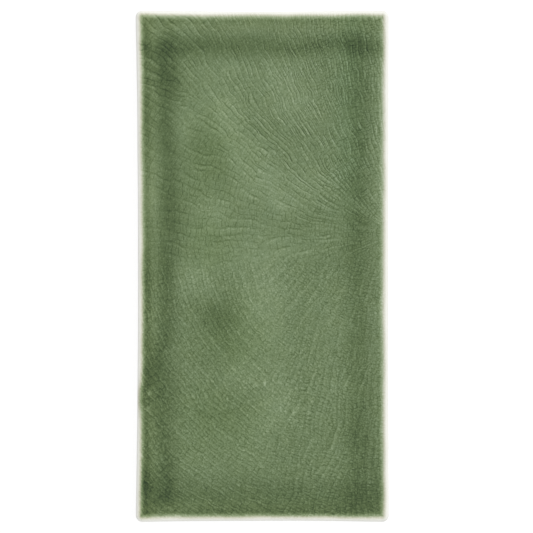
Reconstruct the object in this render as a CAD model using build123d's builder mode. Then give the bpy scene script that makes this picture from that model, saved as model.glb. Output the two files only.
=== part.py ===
from build123d import *

import os

# Subway wall tile: one pressed and fired ceramic piece, lying on its back with its glazed face up.
# Millimetres, +Z up. X runs across the tile, Y along it, and the origin is the middle of the back.

# Overall size of the fired tile
TILE_WIDTH = 76.0
TILE_LENGTH = 153.0
TILE_THICKNESS = 9.5

# Outline: each side dries and fires slightly hollow, measured at the middle of the side
CORNER_RADIUS = 2.0
LEFT_HOLLOW = 0.7
RIGHT_HOLLOW = 0.15
HEAD_HOLLOW = 0.3
FOOT_HOLLOW = 0.3

# Side walls lean in towards the face by their draft, so that the clay leaves its mould
SIDE_DRAFT = 0.25
FACE_EDGE_RADIUS = 1.3
BACK_EDGE_BEVEL = 0.5

# Face: a border, then a shallow moat with soft shoulders, round a level field
BORDER_WIDTH = 4.0
MOAT_WIDTH = 10.0
MOAT_DEPTH = 0.45
FIELD_CORNER_RADIUS = 2.0

# Back: shallow key channels for the adhesive, with a land between each pair
KEY_COUNT = 6
KEY_WIDTH = 5.0
KEY_DEPTH = 0.8
KEY_SIDE_MARGIN = 8.0
KEY_END_MARGIN = 8.5
KEY_DRAFT_DEGREES = 25.0

half_width = TILE_WIDTH / 2
half_length = TILE_LENGTH / 2

with BuildPart() as tile:
    # Body: the hollow-sided outline, drawn in to a bevel at the back and by the draft at the face
    for height, inset in (
        (0, BACK_EDGE_BEVEL),
        (BACK_EDGE_BEVEL, 0),
        (TILE_THICKNESS, SIDE_DRAFT),
    ):
        side = half_width - inset
        end = half_length - inset
        with BuildSketch(Plane.XY.offset(height)) as outline:
            with BuildLine():
                ThreePointArc((-side, end), (-side + LEFT_HOLLOW, 0), (-side, -end))
                ThreePointArc((-side, -end), (0, -end + FOOT_HOLLOW), (side, -end))
                ThreePointArc((side, -end), (side - RIGHT_HOLLOW, 0), (side, end))
                ThreePointArc((side, end), (0, end - HEAD_HOLLOW), (-side, end))
            make_face()
            fillet(outline.vertices(), radius=CORNER_RADIUS - inset)
    loft(ruled=True)

    # Face edge: rounded over all the way round
    face_edges = tile.faces().sort_by(Axis.Z)[-1].edges()
    fillet(face_edges, radius=FACE_EDGE_RADIUS)

    # Moat: a soft dip run round the face, parallel to its sides
    moat_half = MOAT_WIDTH / 2
    moat_side = half_width - BORDER_WIDTH - moat_half
    moat_end = half_length - BORDER_WIDTH - moat_half
    with BuildLine(Plane.XY.offset(TILE_THICKNESS)) as moat_path:
        FilletPolyline(
            (moat_side, -moat_end),
            (moat_side, moat_end),
            (-moat_side, moat_end),
            (-moat_side, -moat_end),
            radius=FIELD_CORNER_RADIUS + moat_half,
            close=True,
        )
    moat_heading = moat_path.line % 0
    moat_start = Plane(
        origin=moat_path.line @ 0,
        x_dir=Vector(0, 0, 1).cross(moat_heading),
        z_dir=moat_heading,
    )
    with BuildSketch(moat_start):
        with BuildLine():
            Spline(
                (-moat_half, 0),
                (0, -MOAT_DEPTH),
                (moat_half, 0),
                tangents=[(1, 0), (1, 0)],
            )
            Polyline(
                (moat_half, 0),
                (moat_half, MOAT_DEPTH),
                (-moat_half, MOAT_DEPTH),
                (-moat_half, 0),
            )
        make_face()
    sweep(path=moat_path.line, mode=Mode.SUBTRACT)

    # Keyed back: parallel channels along the tile, stopped short of its sides and ends
    key_length = TILE_LENGTH - 2 * KEY_END_MARGIN
    key_spacing = (TILE_WIDTH - 2 * KEY_SIDE_MARGIN - KEY_WIDTH) / (KEY_COUNT - 1)
    with BuildSketch():
        with GridLocations(key_spacing, 0, KEY_COUNT, 1):
            SlotOverall(key_length, KEY_WIDTH, rotation=90)
    extrude(amount=KEY_DEPTH, taper=KEY_DRAFT_DEGREES, mode=Mode.SUBTRACT)

os.makedirs("parts", exist_ok=True)
tile.part.label = "tile"
export_step(tile.part, "parts/tile.step")
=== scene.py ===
import math

import bpy
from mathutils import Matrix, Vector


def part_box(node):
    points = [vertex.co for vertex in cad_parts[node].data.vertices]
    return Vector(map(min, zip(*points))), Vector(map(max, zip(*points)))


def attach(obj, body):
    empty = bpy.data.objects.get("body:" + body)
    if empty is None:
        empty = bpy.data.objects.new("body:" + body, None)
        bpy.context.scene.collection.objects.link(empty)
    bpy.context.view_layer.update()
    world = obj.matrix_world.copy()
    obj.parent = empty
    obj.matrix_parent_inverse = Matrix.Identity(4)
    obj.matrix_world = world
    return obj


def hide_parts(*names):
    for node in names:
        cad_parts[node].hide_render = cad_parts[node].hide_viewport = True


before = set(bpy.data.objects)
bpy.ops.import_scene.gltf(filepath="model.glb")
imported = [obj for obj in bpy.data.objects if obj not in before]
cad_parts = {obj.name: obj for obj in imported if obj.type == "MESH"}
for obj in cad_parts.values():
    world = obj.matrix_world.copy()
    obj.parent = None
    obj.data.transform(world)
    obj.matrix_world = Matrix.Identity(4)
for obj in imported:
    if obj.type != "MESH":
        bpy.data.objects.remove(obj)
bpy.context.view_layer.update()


# The tile's shape. One slab of white clay pressed face down in a mould with draft: a border, a shallow
# moat with soft shoulders round a level field, a rounded face edge, and a back keyed for the adhesive.
# Drying and firing pull its sides slightly hollow, and the hand-pressed face keeps a faint wave.
MM = 0.001
tile_low, tile_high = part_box("tile")

tile_sizes = {
    "Width": tile_high.x - tile_low.x,
    "Length": tile_high.y - tile_low.y,
    "Thickness": tile_high.z - tile_low.z,
    "Corner Radius": 2.0 * MM,
    "Left Hollow": 0.7 * MM,
    "Right Hollow": 0.15 * MM,
    "Head Hollow": 0.3 * MM,
    "Foot Hollow": 0.3 * MM,
    "Side Draft": 0.25 * MM,
    "Face Edge Radius": 1.3 * MM,
    "Back Edge Bevel": 0.5 * MM,
    "Border Width": 4.0 * MM,
    "Moat Width": 10.0 * MM,
    "Moat Depth": 0.45 * MM,
    "Field Corner Radius": 2.0 * MM,
    "Face Wave": 0.22 * MM,
    "Side Wave": 0.12 * MM,
    "Key Width": 5.0 * MM,
    "Key Depth": 0.8 * MM,
    "Key Side Margin": 8.0 * MM,
    "Key End Margin": 8.5 * MM,
    "Seed": 7.0,
}
KEY_COUNT = 6
KEY_DRAFT = math.radians(25.0)
KEY_END_SIDES = 32
FACE_COLUMNS = 132
FACE_ROWS = 250
WALL_ROWS = 8
EDGE_CROWDING = 0.25
BACK_INSET = -20.0 * MM
FACE_WAVE_SPAN = 26.0 * MM
FACE_WAVE_FADE = (0.5 * MM, 7.0 * MM)
SIDE_WAVE_SPAN = 21.0 * MM
WELD_DISTANCE = 0.001 * MM
SHARP_FOLD = math.radians(35.0)


class Field:
    """One output of a node, which can be added to, multiplied and compared as a plain number can."""

    def __init__(self, tree, socket):
        self.tree = tree
        self.socket = socket

    def __add__(self, other):
        return work("ADD", self, other)

    def __radd__(self, other):
        return work("ADD", other, self)

    def __sub__(self, other):
        return work("SUBTRACT", self, other)

    def __rsub__(self, other):
        return work("SUBTRACT", other, self)

    def __mul__(self, other):
        return work("MULTIPLY", self, other)

    def __rmul__(self, other):
        return work("MULTIPLY", other, self)

    def __truediv__(self, other):
        return work("DIVIDE", self, other)

    def __neg__(self):
        return work("MULTIPLY", self, -1.0)

    def __abs__(self):
        return work("ABSOLUTE", self)


def feed(tree, socket, value):
    """Plug a field into a socket, or write a plain value there."""
    if isinstance(value, Field):
        tree.links.new(value.socket, socket)
    else:
        socket.default_value = value


def add_node(tree, kind, inputs=None, output=0, **options):
    """Add a node, set its options, feed its inputs by name or place, and give one of its outputs."""
    node = tree.nodes.new(kind)
    for option, value in options.items():
        setattr(node, option, value)
    for key, value in (inputs or {}).items():
        feed(tree, node.inputs[key], value)
    return Field(tree, node.outputs[output])


def work(operation, *values):
    """One step of arithmetic on fields and numbers."""
    tree = next(value.tree for value in values if isinstance(value, Field))
    return add_node(tree, "ShaderNodeMath", dict(enumerate(values)), operation=operation)


def least(first, second):
    return work("MINIMUM", first, second)


def most(first, second):
    return work("MAXIMUM", first, second)


def smooth(field, low, high):
    """Rise gently from 0 to 1 as a field goes from low to high."""
    inputs = {"Value": field, "From Min": low, "From Max": high}
    return add_node(field.tree, "ShaderNodeMapRange", inputs, interpolation_type="SMOOTHSTEP")


def parts_of(vector):
    """The X, Y and Z of a vector field."""
    node = vector.tree.nodes.new("ShaderNodeSeparateXYZ")
    feed(vector.tree, node.inputs[0], vector)
    return [Field(vector.tree, socket) for socket in node.outputs]


def vector_of(tree, x, y, z):
    return add_node(tree, "ShaderNodeCombineXYZ", {0: x, 1: y, 2: z})


def noise(vector, size, detail=2.0, roughness=0.5, shift=0.0):
    """Soft noise between -1 and 1, with features of about the given size."""
    inputs = {"W": shift, "Scale": 1.0 / size, "Detail": detail, "Roughness": roughness, "Vector": vector}
    cloud = add_node(vector.tree, "ShaderNodeTexNoise", inputs, noise_dimensions="4D")
    return cloud * 2.0 - 1.0


pressing = bpy.data.node_groups.new("pressed tile", "GeometryNodeTree")
pressing.interface.new_socket("Geometry", in_out="OUTPUT", socket_type="NodeSocketGeometry")
size_sockets = {
    name: pressing.interface.new_socket(name, in_out="INPUT", socket_type="NodeSocketFloat")
    for name in tile_sizes
}
clay_socket = pressing.interface.new_socket("Clay", in_out="INPUT", socket_type="NodeSocketMaterial")
given = pressing.nodes.new("NodeGroupInput")
size = {name: Field(pressing, given.outputs[name]) for name in tile_sizes}
half_width = size["Width"] * 0.5
half_length = size["Length"] * 0.5

# Plan: an even grid, crowded towards its rim, bent to rounded corners and hollow sides. The inset is how
# far in from the rim a point lies. It is kept for the glaze, and falls below nothing down the walls.
sheet = add_node(
    pressing,
    "GeometryNodeMeshGrid",
    {"Size X": 2.0, "Size Y": 2.0, "Vertices X": FACE_COLUMNS, "Vertices Y": FACE_ROWS},
)
across, along, _ = parts_of(add_node(pressing, "GeometryNodeInputPosition"))
across = across * (1.0 + EDGE_CROWDING - EDGE_CROWDING * across * across) * half_width
along = along * (1.0 + EDGE_CROWDING - EDGE_CROWDING * along * along) * half_length
inset = least(half_width - abs(across), half_length - abs(along))
straight_x = half_width - size["Corner Radius"]
straight_y = half_length - size["Corner Radius"]
corner_x = most(abs(across) - straight_x, 0.0)
corner_y = most(abs(along) - straight_y, 0.0)
corner_reach = work("SQRT", corner_x * corner_x + corner_y * corner_y)
corner_bend = most(corner_x, corner_y) / most(corner_reach, 1e-9)
across = work("SIGN", across) * (least(abs(across), straight_x) + corner_x * corner_bend)
along = work("SIGN", along) * (least(abs(along), straight_y) + corner_y * corner_bend)
share_x = across / half_width
share_y = along / half_length
on_left = work("LESS_THAN", across, 0.0)
on_foot = work("LESS_THAN", along, 0.0)
pull_x = on_left * size["Left Hollow"] - (1.0 - on_left) * size["Right Hollow"]
pull_y = on_foot * size["Foot Hollow"] - (1.0 - on_foot) * size["Head Hollow"]
plan_x = across + pull_x * share_x * share_x * (1.0 - share_y * share_y)
plan_y = along + pull_y * share_y * share_y * (1.0 - share_x * share_x)
plan_x = plan_x * (1.0 - size["Side Draft"] / half_width)
plan_y = plan_y * (1.0 - size["Side Draft"] / half_length)

# Section: the rounded face edge, the border, the moat and the level field, with the wave of the face
edge_radius = size["Face Edge Radius"]
edge_step = edge_radius - least(inset, edge_radius)
edge_rise = work("SQRT", most(edge_radius * edge_radius - edge_step * edge_step, 0.0))
moat_half = size["Moat Width"] * 0.5
moat_turn = size["Field Corner Radius"] + moat_half
moat_middle = size["Border Width"] + moat_half + moat_turn
moat_x = abs(plan_x) - half_width + moat_middle
moat_y = abs(plan_y) - half_length + moat_middle
moat_bend = work("SQRT", most(moat_x, 0.0) * most(moat_x, 0.0) + most(moat_y, 0.0) * most(moat_y, 0.0))
moat_place = (moat_bend + least(most(moat_x, moat_y), 0.0) - moat_turn) / moat_half
moat_dip = most(1.0 - moat_place * moat_place, 0.0)
plan = vector_of(pressing, plan_x, plan_y, 0.0)
face_wave = noise(plan, FACE_WAVE_SPAN, detail=1.0, shift=size["Seed"])
face_wave = (face_wave - 0.5) * size["Face Wave"] * smooth(inset, *FACE_WAVE_FADE)
plan_z = size["Thickness"] - edge_radius + edge_rise
plan_z = plan_z - size["Moat Depth"] * moat_dip * moat_dip + face_wave
body = add_node(
    pressing,
    "GeometryNodeStoreNamedAttribute",
    {"Geometry": sheet, "Name": "inset", "Value": inset},
    data_type="FLOAT",
    domain="POINT",
)
body = add_node(
    pressing,
    "GeometryNodeSetPosition",
    {"Geometry": body, "Position": vector_of(pressing, plan_x, plan_y, plan_z)},
)

# Walls: the rim is drawn down row by row, a little outwards for the draft, then in to the back's bevel
faces_beside = add_node(pressing, "GeometryNodeInputMeshEdgeNeighbors")
rim = work("LESS_THAN", faces_beside, 1.5)
wall_height = size["Thickness"] - edge_radius - size["Back Edge Bevel"]
for row in range(WALL_ROWS + 1):
    at_bevel = row == WALL_ROWS
    drawn = pressing.nodes.new("GeometryNodeExtrudeMesh")
    drawn.mode = "EDGES"
    drawn.inputs["Offset Scale"].default_value = 0.0
    feed(pressing, drawn.inputs["Mesh"], body)
    feed(pressing, drawn.inputs["Selection"], rim)
    rim = Field(pressing, drawn.outputs["Top"])
    wall_x, wall_y, wall_z = parts_of(add_node(pressing, "GeometryNodeInputPosition"))
    if at_bevel:
        step_out = -size["Back Edge Bevel"]
        row_z = wall_z * 0.0
    else:
        step_out = size["Side Draft"] / WALL_ROWS
        row_z = wall_z - wall_height / WALL_ROWS
    wall_x = wall_x * (1.0 + step_out / half_width)
    wall_y = wall_y * (1.0 + step_out / half_length)
    body = add_node(
        pressing,
        "GeometryNodeSetPosition",
        {
            "Geometry": Field(pressing, drawn.outputs["Mesh"]),
            "Selection": rim,
            "Position": vector_of(pressing, wall_x, wall_y, row_z),
        },
    )
    body = add_node(
        pressing,
        "GeometryNodeStoreNamedAttribute",
        {
            "Geometry": body,
            "Selection": rim,
            "Name": "inset",
            "Value": -wall_height * ((row + 1) / WALL_ROWS),
        },
        data_type="FLOAT",
        domain="POINT",
    )

# Back: a level bed filled inside the last row, then cut by the key channels
back_rim = pressing.nodes.new("GeometryNodeMeshToCurve")
feed(pressing, back_rim.inputs["Mesh"], body)
feed(pressing, back_rim.inputs["Selection"], rim)
bed = add_node(
    pressing, "GeometryNodeFillCurve", {"Curve": Field(pressing, back_rim.outputs[0])}, mode="NGONS"
)
bed = add_node(pressing, "GeometryNodeFlipFaces", {"Mesh": bed})
key_slope = math.tan(KEY_DRAFT)
key_end = half_length - size["Key End Margin"] - size["Key Width"] * 0.5
key_cutter = add_node(
    pressing,
    "GeometryNodeMeshCone",
    {
        "Vertices": KEY_END_SIDES,
        "Radius Top": size["Key Width"] * 0.5 - size["Key Depth"] * key_slope,
        "Radius Bottom": size["Key Width"] * 0.5 + size["Key Depth"] * key_slope,
        "Depth": size["Key Depth"] * 2.0,
    },
)
turn = add_node(pressing, "ShaderNodeCombineXYZ", {2: math.pi / KEY_END_SIDES})
key_cutter = add_node(
    pressing,
    "GeometryNodeTransform",
    {
        "Geometry": key_cutter,
        "Rotation": turn,
        "Translation": vector_of(pressing, 0.0, 0.0, -size["Key Depth"]),
    },
)
key_x, key_y, key_z = parts_of(add_node(pressing, "GeometryNodeInputPosition"))
key_cutter = add_node(
    pressing,
    "GeometryNodeSetPosition",
    {
        "Geometry": key_cutter,
        "Position": vector_of(pressing, key_x, key_y + work("SIGN", key_y) * key_end, key_z),
    },
)
first_key = half_width - size["Key Side Margin"] - size["Key Width"] * 0.5
key_line = add_node(
    pressing,
    "GeometryNodeMeshLine",
    {
        "Count": KEY_COUNT,
        "Start Location": vector_of(pressing, -first_key, 0.0, 0.0),
        "Offset": vector_of(pressing, first_key * (2.0 / (KEY_COUNT - 1)), 0.0, 0.0),
    },
    mode="OFFSET",
)
keys = add_node(pressing, "GeometryNodeInstanceOnPoints", {"Points": key_line, "Instance": key_cutter})
keys = add_node(pressing, "GeometryNodeRealizeInstances", {"Geometry": keys})
joined = pressing.nodes.new("GeometryNodeJoinGeometry")
for piece in (body, bed):
    pressing.links.new(piece.socket, joined.inputs[0])
body = add_node(
    pressing,
    "GeometryNodeMergeByDistance",
    {"Geometry": Field(pressing, joined.outputs[0]), "Distance": WELD_DISTANCE},
)
carved = pressing.nodes.new("GeometryNodeMeshBoolean")
carved.operation = "DIFFERENCE"
carved.solver = "EXACT"
feed(pressing, carved.inputs["Mesh 1"], body)
feed(pressing, carved.inputs["Mesh 2"], keys)
body = Field(pressing, carved.outputs["Mesh"])
bed_x, bed_y, bed_z = parts_of(add_node(pressing, "GeometryNodeInputPosition"))
well_in = most(abs(bed_x) - half_width, abs(bed_y) - half_length) + size["Key Side Margin"] * 0.5
on_back = work("LESS_THAN", bed_z, size["Key Depth"] * 1.1) * work("LESS_THAN", well_in, 0.0)
body = add_node(
    pressing,
    "GeometryNodeStoreNamedAttribute",
    {"Geometry": body, "Selection": on_back, "Name": "inset", "Value": BACK_INSET},
    data_type="FLOAT",
    domain="POINT",
)

# Hand-made sides: the whole outline wanders by a fraction of a millimetre
spot_x, spot_y, spot_z = parts_of(add_node(pressing, "GeometryNodeInputPosition"))
beside = vector_of(pressing, spot_x, spot_y, 0.0)
wander_x = noise(beside, SIDE_WAVE_SPAN, detail=1.0, shift=size["Seed"] + 11.0) * size["Side Wave"]
wander_y = noise(beside, SIDE_WAVE_SPAN, detail=1.0, shift=size["Seed"] + 23.0) * size["Side Wave"]
body = add_node(
    pressing,
    "GeometryNodeSetPosition",
    {"Geometry": body, "Offset": vector_of(pressing, wander_x, wander_y, 0.0)},
)
fold = add_node(pressing, "GeometryNodeInputMeshEdgeAngle")
body = add_node(
    pressing,
    "GeometryNodeSetShadeSmooth",
    {"Geometry": body, "Selection": work("GREATER_THAN", fold, SHARP_FOLD), "Shade Smooth": False},
    domain="EDGE",
)
body = add_node(pressing, "GeometryNodeRealizeInstances", {"Geometry": body})
body = add_node(
    pressing,
    "GeometryNodeSetMaterial",
    {"Geometry": body, "Material": Field(pressing, given.outputs["Clay"])},
)
result = pressing.nodes.new("NodeGroupOutput")
pressing.links.new(body.socket, result.inputs[0])

tile = bpy.data.objects.new("glazed_tile", bpy.data.meshes.new("glazed_tile"))
bpy.context.scene.collection.objects.link(tile)
press = tile.modifiers.new("pressed tile", "NODES")
press.node_group = pressing
for name, value in tile_sizes.items():
    press[size_sockets[name].identifier] = value
glazed_clay = bpy.data.materials.new("crackle glaze on white clay")
press[clay_socket.identifier] = glazed_clay
evaluated = tile.evaluated_get(bpy.context.evaluated_depsgraph_get())
tile.data = bpy.data.meshes.new_from_object(evaluated)
tile.modifiers.remove(press)


# Glaze: a glassy green coat, thin and worn pale where it ran off the rounded edge, dark where it pooled
# in the moat, clouded where it was brushed thick. As it cooled it crazed into long cracks with short ones
# between. Its places and widths are in millimetres, and its tones run from 0 to 255, as they are seen.
glazed_clay.use_nodes = True
paint = glazed_clay.node_tree
paint.nodes.clear()
place = add_node(paint, "ShaderNodeTexCoord", output="Object")
place = add_node(paint, "ShaderNodeVectorMath", {0: place, "Scale": 1.0 / MM}, operation="SCALE")
inset = add_node(paint, "ShaderNodeAttribute", output="Fac", attribute_name="inset") / MM


def shade(red, green, blue):
    """A colour as it is seen, 0 to 255, turned to the linear light that a shader works in."""
    parts = []
    for part in (red / 255, green / 255, blue / 255):
        parts.append(part / 12.92 if part <= 0.04045 else ((part + 0.055) / 1.055) ** 2.4)
    return (*parts, 1.0)


def drift(vector, reach, span, shift):
    """Push a place about by up to the given reach, in swirls of about the given span."""
    tree = vector.tree
    inputs = {"W": shift, "Scale": 1.0 / span, "Detail": 1.0, "Vector": vector}
    swirl = add_node(tree, "ShaderNodeTexNoise", inputs, output="Color", noise_dimensions="4D")
    swirl = add_node(tree, "ShaderNodeVectorMath", {0: swirl, 1: (0.5, 0.5, 0.5)}, operation="SUBTRACT")
    swirl = add_node(tree, "ShaderNodeVectorMath", {0: swirl, "Scale": 2.0 * reach}, operation="SCALE")
    return add_node(tree, "ShaderNodeVectorMath", {0: vector, 1: swirl}, operation="ADD")


def bell(offset, spread):
    """1 where the offset is nothing, falling softly to 0 over a few spreads."""
    share = offset / spread
    return work("EXPONENT", -(share * share))


def cells(place, span, kind, output="Distance"):
    """Cracked cells of about the given span along one line of numbers."""
    inputs = {"W": place, "Scale": 1.0 / span}
    return add_node(
        place.tree, "ShaderNodeTexVoronoi", inputs, output=output, voronoi_dimensions="1D", feature=kind
    )


def crack(distance, width):
    """1 along a crack, falling to 0 at its width."""
    return 1.0 - smooth(distance, 0.0, width)


# Fans: long cracks run as rays from a pole, and lie in patches that each turn and slant theirs a little.
# An angle times the fan's reach is a length across the rays.
FAN_REACH = 70.0
RAY_BEND = (5.0, 60.0)
PATCH_WIDTH = 6.0
PATCH_LENGTH = 9.0
PATCH_TURN = 2.0
PATCH_SLANT = 0.006
ROW_SHIFT = 37.0
RUNG_SHIFT = 900.0
FLAKE_CURVE = 3.0

# Rings round a pole: the reach at which the spacing holds, and the reach at which the ring ends
NO_END = 999.0
FAR_RINGS = ((50.0, 64.0), (84.0, NO_END))
NEAR_RINGS = ((11.0, 16.0), (24.0, 34.0), *FAR_RINGS)
RING_BLEND = 1.3


def fan(spot, pole_x, pole_y, steepening=0.0):
    """How a place lies to a pole where long cracks meet: the angle of the ray through it, in radians,
    and its reach from the pole. Steepening bends the rays, most in the middle of their run."""
    spot_x, spot_y, _ = parts_of(spot)
    off_x = pole_x - spot_x
    off_y = spot_y - pole_y
    wide = off_x
    if steepening:
        wide = off_x * (1.0 + steepening * smooth(off_x, *RAY_BEND))
    return work("ARCTAN2", off_y, wide), work("SQRT", off_x * off_x + off_y * off_y)


def patches(angle, reach):
    """A number from 0 to 1 for each patch of a fan. The patches lie in rows, as bricks do."""
    row = cells(angle * FAN_REACH, PATCH_WIDTH, "F1", output="W")
    return cells(reach + row * ROW_SHIFT, PATCH_LENGTH, "F1", output="Color")


def crazing(angle, reach, spacing, rung, width, rings):
    """Long cracks along the rays of a fan, and short ones across between them: the strength of each, a
    painted highlight along one side of the long ones, and painted shading across the flake between them,
    as if it were tilted to the light, -1 to 1 across it.
    Each ring round the pole starts its cracks afresh, to keep them about the given spacing apart."""
    long_lines = 0.0
    short_lines = 0.0
    lip_glints = 0.0
    tilt_shade = 0.0
    inner = 1.0
    patch = patches(angle, reach)
    turned = angle + PATCH_TURN * patch + (patch - 0.5) * reach * PATCH_SLANT
    for ring_reach, end in rings:
        strip = spacing / ring_reach
        outer = smooth(reach, end, end * RING_BLEND)
        here = inner * (1.0 - outer)
        inner = outer
        middle = cells(turned, strip, "F1", output="W")
        long_gap = cells(turned, strip, "DISTANCE_TO_EDGE") * strip * reach
        short_gap = cells(reach + middle * RUNG_SHIFT, rung, "DISTANCE_TO_EDGE") * rung
        lean = work("TANH", (turned - middle) * (FLAKE_CURVE / strip))
        long_lines = long_lines + here * crack(long_gap, width)
        short_lines = short_lines + here * crack(short_gap, width)
        lip_glints = lip_glints + here * most(lean, 0.0) * crack(abs(long_gap - 2.0 * width), 1.5 * width)
        tilt_shade = tilt_shade + here * lean
    return long_lines, short_lines, lip_glints, tilt_shade


def strokes(angle, reach, width, length, shift):
    """Soft streaks between -1 and 1: the width is across the rays of a fan and the length along them."""
    vector = vector_of(angle.tree, angle * (FAN_REACH / width), reach * (1.0 / length), 0.0)
    return noise(vector, 1.0, detail=1.5, shift=shift)


x, y, _ = parts_of(place)
loose = drift(place, 6.0, 14.0, 3.0)
cloud_x, cloud_y, _ = parts_of(loose)
steady = drift(place, 2.0, 12.0, 8.0)
band_x, band_y, _ = parts_of(steady)

# Pooling: dark bands over the moat, a dark line inside the left edge, and a thinner coat on the borders
LEFT_POOL = -28.6
RIGHT_POOL = 28.2
HEAD_POOL = 65.4
FOOT_POOL = -69.5
LEFT_LINE = -35.2
RIM_LINE = 3.0
HEAD_BORDER = 72.5
RIGHT_BORDER = 34.5
left_middle = LEFT_POOL - 1.8 * smooth(band_y, -20.0, -32.0) + 1.8 * smooth(band_y, -45.0, -55.0)
pool = 22.0 * bell(band_x - left_middle, 3.2) + 15.0 * bell(band_x - RIGHT_POOL, 3.4)
pool = pool * smooth(abs(band_y), 77.0, 67.0)
pool = pool + 22.0 * bell(band_y - HEAD_POOL, 3.0)
pool = pool + 18.0 * bell(band_y - FOOT_POOL, 5.5)
pool = pool + 10.0 * bell(x - LEFT_LINE, 1.8) * (1.0 + 1.5 * noise(place, 14.0, shift=21.0))
pool = pool + 9.0 * bell(inset - RIM_LINE, 1.3) * smooth(x, 34.0, 28.0)
thin_head = 7.0 * bell(y - HEAD_BORDER, 3.0)
thin_right = 9.0 * bell(x - RIGHT_BORDER, 2.5) * smooth(y, -40.0, -10.0)
pool = pool - most(thin_head, thin_right)

# Clouds: middle, long half, short half, slant in degrees and strength of each veil or thick patch
veils = [
    (-2.8, 29.0, 11.0, 5.5, -55.0, 14.0),
    (-11.0, 46.0, 9.0, 4.5, -50.0, 15.0),
    (-24.0, 44.0, 9.0, 3.0, 90.0, 10.0),
    (-10.0, 59.0, 6.0, 4.0, 0.0, 8.0),
    (4.0, 53.0, 10.0, 6.0, -60.0, 10.0),
    (13.0, 50.0, 9.0, 5.0, -70.0, 8.0),
    (13.0, 26.0, 8.0, 6.0, -40.0, 7.0),
    (6.0, 21.0, 8.0, 5.0, -40.0, 8.0),
    (24.0, 14.0, 12.0, 8.0, 90.0, -4.0),
    (19.5, -5.0, 65.0, 6.0, 90.0, 4.0),
    (-14.0, 17.0, 7.0, 6.0, 0.0, 10.0),
    (-32.0, 20.0, 9.0, 4.0, 90.0, 17.0),
    (-4.0, 3.0, 8.0, 6.0, 60.0, 8.0),
    (9.0, 4.0, 8.0, 6.0, 0.0, 5.0),
    (-21.0, -5.0, 8.0, 6.0, 60.0, 13.0),
    (-31.5, -12.0, 11.0, 3.0, 90.0, 6.0),
    (2.0, -11.0, 13.0, 6.0, 80.0, 13.0),
    (-18.0, -28.0, 6.0, 5.0, 0.0, -5.0),
    (-6.0, -31.0, 6.0, 5.0, 0.0, 7.0),
    (3.0, -41.0, 13.0, 5.0, 75.0, 13.0),
    (-29.0, -72.5, 8.0, 3.0, 0.0, 10.0),
    (-14.0, -15.0, 10.0, 6.0, -45.0, -20.0),
    (-17.0, 34.0, 10.0, 7.0, -20.0, -9.0),
    (-28.5, 54.0, 8.0, 5.0, 90.0, -11.0),
    (-24.0, 17.0, 8.0, 4.0, 90.0, -12.0),
    (-24.5, -38.0, 8.0, 4.0, 90.0, -7.0),
    (-26.5, 2.0, 12.0, 4.0, 90.0, -6.0),
    (-12.0, -44.0, 10.0, 7.0, 30.0, -8.0),
    (26.0, -50.0, 8.0, 10.0, 90.0, -7.0),
    (-34.5, -34.0, 5.0, 3.0, 90.0, -13.0),
    (-31.0, -27.0, 8.0, 3.0, 90.0, -9.0),
    (-35.0, -10.0, 9.0, 3.0, 90.0, -9.0),
    (-34.0, -64.5, 6.0, 4.5, 80.0, -14.0),
    (-30.0, 67.0, 6.0, 5.0, 80.0, 8.0),
    (-34.5, 59.0, 7.0, 3.0, 90.0, 8.0),
    (33.0, -63.0, 8.0, 4.0, 90.0, -11.0),
    (29.0, -72.0, 9.0, 3.0, 0.0, -6.0),
    (34.0, 73.0, 4.0, 3.0, 0.0, -10.0),
    (-24.0, 51.0, 6.0, 3.0, 90.0, -8.0),
    (-13.0, 25.0, 8.0, 4.0, 30.0, -6.0),
    (12.0, 15.0, 7.0, 4.0, 0.0, -6.0),
    (8.0, -7.0, 5.0, 4.0, 0.0, 6.0),
    (-35.0, 44.0, 4.0, 2.0, 90.0, -9.0),
    (-35.0, 29.5, 4.0, 2.0, 90.0, 8.0),
    (8.5, -42.5, 4.0, 4.0, 0.0, 7.0),
    (26.5, -35.5, 4.0, 4.0, 0.0, 6.0),
    (21.0, 0.0, 7.0, 6.0, 0.0, -7.0),
    (34.5, -6.0, 11.0, 2.5, 90.0, -7.0),
]
OPEN_TONE = 134.0
level = OPEN_TONE - pool
for middle_x, middle_y, half_long, half_short, slant, strength in veils:
    turn_x = math.cos(math.radians(slant))
    turn_y = math.sin(math.radians(slant))
    off_x = cloud_x - middle_x
    off_y = cloud_y - middle_y
    far_long = (off_x * turn_x + off_y * turn_y) * (1.0 / half_long)
    far_short = (off_y * turn_x - off_x * turn_y) * (1.0 / half_short)
    level = level + strength * work("EXPONENT", -(far_long * far_long + far_short * far_short))

# Crazing: long cracks fan out from a pole at the right edge, with ladders of short ones between them on
# the right, a sparse net on the left above the pole and fine arcs round it on the left below
UPPER_POLE = (40.0, 9.0)
LOWER_POLE = (47.0, 50.0)
ARC_POLE = (41.0, 15.0)
swept = drift(place, 1.5, 14.0, 17.0)
bent = drift(swept, 0.35, 2.4, 29.0)
rough = drift(swept, 0.8, 2.0, 31.0)
flowing = drift(bent, 1.5, 6.0, 37.0)
high_angle, high_reach = fan(flowing, *UPPER_POLE, steepening=1.0)
net_angle, net_reach = fan(rough, *UPPER_POLE, steepening=1.0)
low_angle, low_reach = fan(bent, *LOWER_POLE)
weave_angle, weave_reach = fan(rough, *LOWER_POLE)
arc_angle, arc_reach = fan(rough, *ARC_POLE)
high_lines, high_rungs, high_lip_glints, high_tilt_shade = crazing(
    high_angle, high_reach, spacing=1.2, rung=1.8, width=0.2, rings=NEAR_RINGS
)
low_lines, _, _, low_tilt_shade = crazing(
    low_angle, low_reach, spacing=2.4, rung=3.0, width=0.21, rings=FAR_RINGS
)
net_lines, net_rungs, net_lip_glints, net_tilt_shade = crazing(
    net_angle, net_reach, spacing=1.1, rung=1.15, width=0.25, rings=NEAR_RINGS
)
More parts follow.
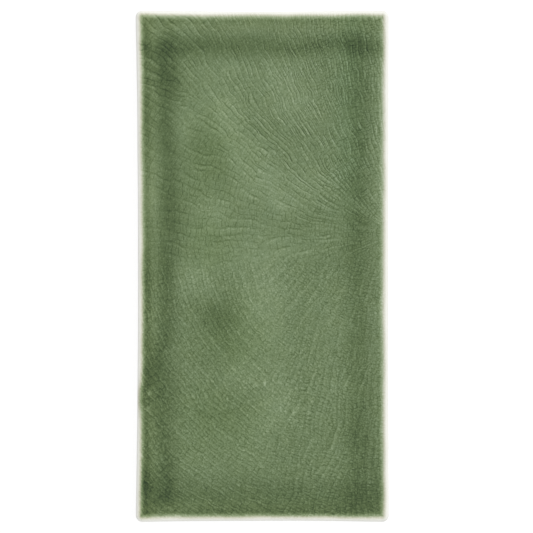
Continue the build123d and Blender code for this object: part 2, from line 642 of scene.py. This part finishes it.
weave_lines, weave_rungs, weave_lip_glints, weave_tilt_shade = crazing(
    weave_angle, weave_reach, spacing=1.1, rung=1.05, width=0.25, rings=FAR_RINGS
)
ARC_SPACING = 1.1
ARC_RUNG = 1.6
ARC_WIDTH = 0.24
ARC_GLINT_PLACE = 0.45
ARC_GLINT_WIDTH = 0.32
ARC_PATCH_SHIFT = 40.0
ARC_RUNG_SHIFT = 41.0
arc_run = arc_angle * FAN_REACH
arc_place = arc_reach + ARC_PATCH_SHIFT * patches(arc_reach * (1.0 / FAN_REACH), arc_run)
arc_gap = cells(arc_place, ARC_SPACING, "DISTANCE_TO_EDGE") * ARC_SPACING
arc_middle = cells(arc_place, ARC_SPACING, "F1", output="W")
# Painted shading across each arc flake, as if it were tilted to the light
arc_tilt_shade = work("TANH", (arc_place - arc_middle) * (FLAKE_CURVE / ARC_SPACING))
arc_rung_gap = cells(arc_run + arc_middle * ARC_RUNG_SHIFT, ARC_RUNG, "DISTANCE_TO_EDGE") * ARC_RUNG
arc_lines = 0.85 * most(crack(arc_gap, ARC_WIDTH), crack(arc_rung_gap, ARC_WIDTH))
# Painted highlight along one side of each arc crack
arc_lip_glints = most(arc_tilt_shade, 0.0) * crack(abs(arc_gap - ARC_GLINT_PLACE), ARC_GLINT_WIDTH)

# Where each kind shows: upper is the half above the middle, woven the right of the half below it, tight
# the far right and bold the right of the middle. Broken and patchy thin the cracks out here and there.
upper = smooth(cloud_y, -2.0, 5.0)
woven = smooth(cloud_x, -3.0, 9.0)
broken = least(most(0.7 + 1.2 * noise(place, 1.8, shift=5.0), 0.1), 1.0)
tight = smooth(cloud_x, 7.0, 20.0)
bold = bell(cloud_x - 13.0, 13.0)
patchy = least(most(0.65 + 1.5 * noise(place, 3.2, shift=41.0), 0.15), 1.0)
steep_rays = smooth(high_angle, 0.05, 0.5)
main_lines = upper * (0.92 + 0.43 * bold) * patchy * high_lines
main_lines = main_lines + (1.0 - upper) * (0.2 + 0.3 * woven) * low_lines
main_lines = main_lines * (0.45 + 0.55 * smooth(high_reach, 10.0, 32.0))
main_lines = main_lines * (1.0 - 0.45 * upper * (1.0 - steep_rays))
upper_net = most(0.65 * tight * net_lines, (0.3 + 0.6 * tight) * net_rungs)
upper_net = most(upper_net, (0.85 - 0.3 * steep_rays) * (1.0 - tight) * high_rungs)
lower_net = woven * most(0.6 * weave_lines, 0.8 * weave_rungs) + (1.0 - woven) * 0.75 * arc_lines
# Painted highlights along one side of the cracks
lip_glints = upper * ((0.6 + 0.4 * steep_rays + 0.4 * bold) * patchy * high_lip_glints + 0.4 * tight * net_lip_glints)
lip_glints = lip_glints + (1.0 - upper) * (0.7 * (1.0 - woven) * broken * arc_lip_glints + 0.3 * woven * weave_lip_glints)
lines = most(main_lines, broken * (upper * upper_net + (1.0 - upper) * lower_net))
# Painted shading of the flakes, lighter towards one edge of each, as if tilted to the light
lower_tilt_shade = 0.4 * low_tilt_shade + 0.6 * (woven * weave_tilt_shade + (1.0 - woven) * arc_tilt_shade)
tilt_shade = upper * (0.7 * steep_rays * high_tilt_shade + 0.4 * net_tilt_shade) + (1.0 - upper) * lower_tilt_shade
upper_streaks = strokes(high_angle, high_reach, 0.42, 1.5, 61.0)
lower_streaks = strokes(arc_angle, arc_reach, 1.2, 0.42, 67.0)
streaks = upper * (0.45 + 0.55 * steep_rays) * upper_streaks + (1.0 - upper) * lower_streaks

# Marks: by how much each lifts or sinks the tone of the glaze. The tilt is painted shading across each
# flake, the lips a painted highlight along the cracks, and the bright specks painted glints.
MOTTLE_TONE = 4.0
STREAK_TONE = 20.0
GRAIN_TONE = 32.0
SPECK_GLINT_TONE = 24.0
TILT_SHADE_TONE = 5.0
LIP_GLINT_TONE = 20.0
CRACK_TONE = 32.0
grain = noise(place, 0.42, detail=1.0, shift=71.0)
level = level + MOTTLE_TONE * noise(place, 7.0, shift=9.0)
level = level + (STREAK_TONE - 4.0 * upper + 8.0 * bold) * streaks
level = level + (GRAIN_TONE - 8.0 * upper) * grain
# Painted shading of the flakes and painted highlights along the cracks
level = level + TILT_SHADE_TONE * tilt_shade + LIP_GLINT_TONE * lip_glints
# Painted glints: bright specks where the grain is highest
level = level + SPECK_GLINT_TONE * most(grain - 0.2, 0.0)
level = level - (CRACK_TONE + 4.0 * upper) * lines

# Flaws: two bright beads in the glaze that ran over the left edge, and one pinhole below the middle
for flaw_x, flaw_y, wide, high, strength in (
    (-33.6, -37.8, 0.7, 0.8, 34.0),
    (-33.8, -42.6, 0.7, 0.9, 30.0),
    (0.8, -34.9, 0.35, 0.8, 55.0),
    (1.6, -34.5, 0.7, 0.7, -10.0),
):
    far_x = (x - flaw_x) * (1.0 / wide)
    far_y = (y - flaw_y) * (1.0 / high)
    level = level + strength * work("EXPONENT", -(far_x * far_x + far_y * far_y))

# Tones: thick glaze to thin, less the light that its gloss throws back
GLOSS = 0.024
DARKEST = 0.004
tones = [(50, 64, 40), (76, 92, 62), (97, 114, 79), (112, 129, 95), (127, 144, 110), (160, 175, 144)]
glaze = add_node(paint, "ShaderNodeValToRGB", {0: level * (1.0 / 255.0)})
ramp = glaze.socket.node.color_ramp
for place_in_ramp, tone in enumerate(tones):
    if place_in_ramp == 0:
        stop = ramp.elements[0]
    elif place_in_ramp == len(tones) - 1:
        stop = ramp.elements[len(ramp.elements) - 1]
    else:
        stop = ramp.elements.new(tone[1] / 255)
    stop.position = tone[1] / 255
    stop.color = [max(part - GLOSS, DARKEST) for part in shade(*tone)[:3]] + [1.0]

# Hue: olive on the left, head and foot borders, greener in four patches left of the middle, and less red
# over the right of the moat
warm = 0.7 * noise(place, 5.0, shift=81.0) + 0.4 * noise(place, 1.6, shift=83.0)
warm = warm + 0.8 * smooth(x, -29.0, -34.0) + 0.8 * smooth(abs(y), 68.0, 72.0) + 0.3
lush = 0.0
for patch_x, patch_y, wide, high in (
    (-15.0, 33.0, 10.0, 16.0),
    (-15.0, 7.0, 8.0, 8.0),
    (-8.0, -21.0, 11.0, 12.0),
    (-12.0, -46.0, 14.0, 11.0),
):
    lush = most(bell(cloud_x - patch_x, wide) * bell(cloud_y - patch_y, high), lush)
teal = bell(x - 26.0, 5.0) * smooth(y, 0.0, 40.0)
red_share = 0.985 + 0.02 * warm - 0.02 * lush - 0.05 * teal
tint = vector_of(paint, red_share, 1.0, 1.0 - 0.07 * warm - 0.08 * lush)
glaze = add_node(paint, "ShaderNodeVectorMath", {0: glaze, 1: tint}, operation="MULTIPLY")

# Clay: white, bare on the sides and back, and taking on the colour of the glaze as the coat thickens
# inwards. A thin coat holds back less of the red and blue.
THIN_SHARES = (0.84, 1.0, 0.92)
CLAY_ROUGHNESS = 0.75
GLAZE_ROUGHNESS = 0.18
CRACK_DEPTH = 0.03
STREAK_HEIGHT = 0.01
worn = inset + 0.4 * noise(place, 11.0, shift=13.0) + 0.8 * bell(x + 37.0, 3.0) * bell(y + 39.0, 5.0)
coat = smooth(worn * (1.0 - 0.1 * smooth(x, 30.0, 36.0)), 0.3, 3.0)
clay = shade(249, 249, 242)
# Painted shade: the bare clay darkens a little towards the right wall
right_wall_shade = 1.0 - 0.09 * smooth(x, 35.0, 37.0)
thick = smooth(coat, 0.25, 0.55)
coated = []
for glazed_part, clay_part, thin_share in zip(parts_of(glaze), clay, THIN_SHARES):
    bare_clay_and_shade = clay_part * right_wall_shade
    depth = coat * (thin_share + (1.0 - thin_share) * thick)
    coated.append(work("POWER", glazed_part / bare_clay_and_shade, depth) * bare_clay_and_shade)
colour = vector_of(paint, *coated)
height = STREAK_HEIGHT * streaks - CRACK_DEPTH * main_lines
roughness = CLAY_ROUGHNESS + (GLAZE_ROUGHNESS - CLAY_ROUGHNESS) * coat
relief = add_node(paint, "ShaderNodeBump", {"Height": height, "Distance": MM, "Strength": 1.0})
surface = add_node(
    paint,
    "ShaderNodeBsdfPrincipled",
    {"Base Color": colour, "Roughness": roughness, "Normal": relief},
)
surface_end = paint.nodes.new("ShaderNodeOutputMaterial")
paint.links.new(surface.socket, surface_end.inputs["Surface"])

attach(tile, "root")
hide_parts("tile")


# The ground and light of the picture: a white sheet spread flat, with the tile lying loose on it, under
# an even sky and a soft sun from the upper right.
GROUND_REACH = 3.0
SHEET_TONE = 0.8
SEEN_TONE = 0.18
SEEN_GLOW = 0.88
SKY_STRENGTH = 0.62
SUN_STRENGTH = 1.55
SUN_SPREAD = math.radians(55.0)
SUN_TURN = (math.radians(-22.0), math.radians(32.0), 0.0)
CAMERA_LENS = 150.0
CAMERA_PLACE = (1.29 * MM, -0.1 * MM, 670.4 * MM)
ground_mesh = bpy.data.meshes.new("ground")
ground_corners = [
    (-GROUND_REACH, -GROUND_REACH, 0.0),
    (GROUND_REACH, -GROUND_REACH, 0.0),
    (GROUND_REACH, GROUND_REACH, 0.0),
    (-GROUND_REACH, GROUND_REACH, 0.0),
]
ground_mesh.from_pydata(ground_corners, [], [(0, 1, 2, 3)])
ground = bpy.data.objects.new("ground", ground_mesh)
bpy.context.scene.collection.objects.link(ground)
white_sheet = bpy.data.materials.new("white sheet")
white_sheet.use_nodes = True
sheet_paint = white_sheet.node_tree
sheet_paint.nodes.clear()

# Seen by the camera or in a gloss, the sheet glows white and keeps the tile's shadow
light_path = sheet_paint.nodes.new("ShaderNodeLightPath")
seen = Field(sheet_paint, light_path.outputs["Is Camera Ray"])
for mirrored in ("Is Glossy Ray", "Is Transmission Ray"):
    seen = most(seen, Field(sheet_paint, light_path.outputs[mirrored]))
sheet_tone = SHEET_TONE + (SEEN_TONE - SHEET_TONE) * seen
sheet_surface = add_node(
    sheet_paint,
    "ShaderNodeBsdfPrincipled",
    {
        "Base Color": vector_of(sheet_paint, sheet_tone, sheet_tone, sheet_tone),
        "Roughness": 1.0,
        "Specular IOR Level": 0.0,
        "Emission Color": (1.0, 1.0, 1.0, 1.0),
        "Emission Strength": SEEN_GLOW * seen,
    },
)
sheet_end = sheet_paint.nodes.new("ShaderNodeOutputMaterial")
sheet_paint.links.new(sheet_surface.socket, sheet_end.inputs["Surface"])
ground_mesh.materials.append(white_sheet)

sky = bpy.data.worlds.new("sky")
sky.use_nodes = True
sky.node_tree.nodes["Background"].inputs["Color"].default_value = (1.0, 1.0, 1.0, 1.0)
sky.node_tree.nodes["Background"].inputs["Strength"].default_value = SKY_STRENGTH
bpy.context.scene.world = sky

sun_light = bpy.data.lights.new("sun", "SUN")
sun_light.energy = SUN_STRENGTH
sun_light.angle = SUN_SPREAD
sun = bpy.data.objects.new("sun", sun_light)
sun.rotation_euler = SUN_TURN
sun.visible_glossy = False
bpy.context.scene.collection.objects.link(sun)

camera_lens = bpy.data.cameras.new("camera")
camera_lens.lens = CAMERA_LENS
camera = bpy.data.objects.new("camera", camera_lens)
camera.location = CAMERA_PLACE
bpy.context.scene.collection.objects.link(camera)
bpy.context.scene.camera = camera
bpy.context.scene.view_settings.view_transform = "Standard"
